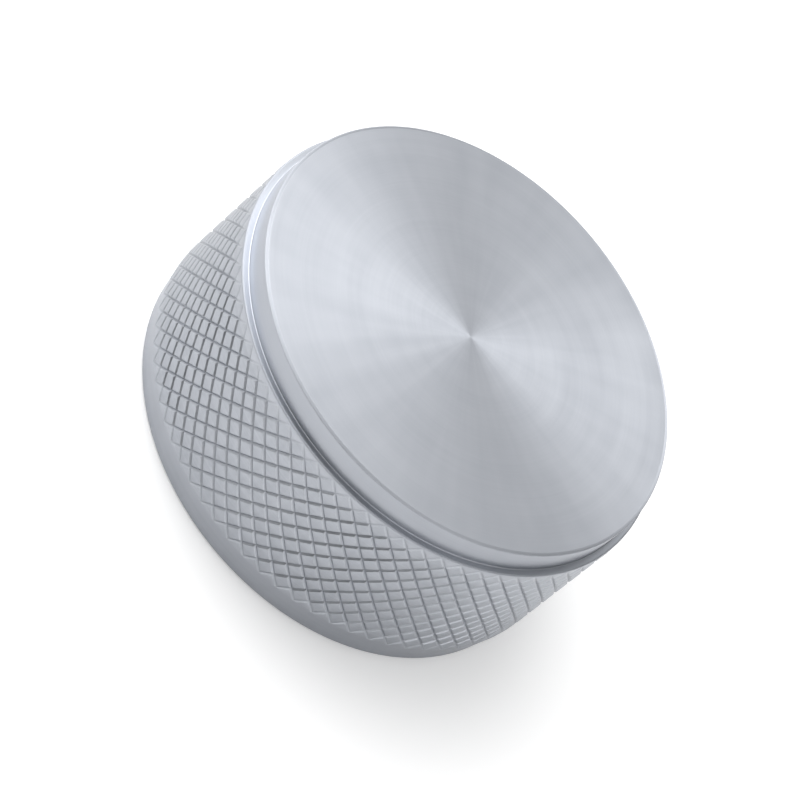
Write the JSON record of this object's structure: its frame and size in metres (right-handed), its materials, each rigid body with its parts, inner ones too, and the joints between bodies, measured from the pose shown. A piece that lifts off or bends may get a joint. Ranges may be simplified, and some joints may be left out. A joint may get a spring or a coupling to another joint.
{
  "type": "furniture knob",
  "caption": "Round furniture knob turned as one solid: diamond-knurled barrel, smooth spun front face on a plain cap, and a flat back with a tapped hole for its screw.",
  "frame": {"origin": "centre of the flat back face, on the knob's axis", "axes": "+Z along the axis from the back face to the front face; X and Y lie in the back face"},
  "size_m": [0.032, 0.032, 0.0142],
  "materials": {
    "satin_metal": "satin, turned in fine rings on the front face and diamond-knurled round the barrel"
  },
  "bodies": {
    "root": {"knob": "satin_metal"}
  },
  "joints": []
}
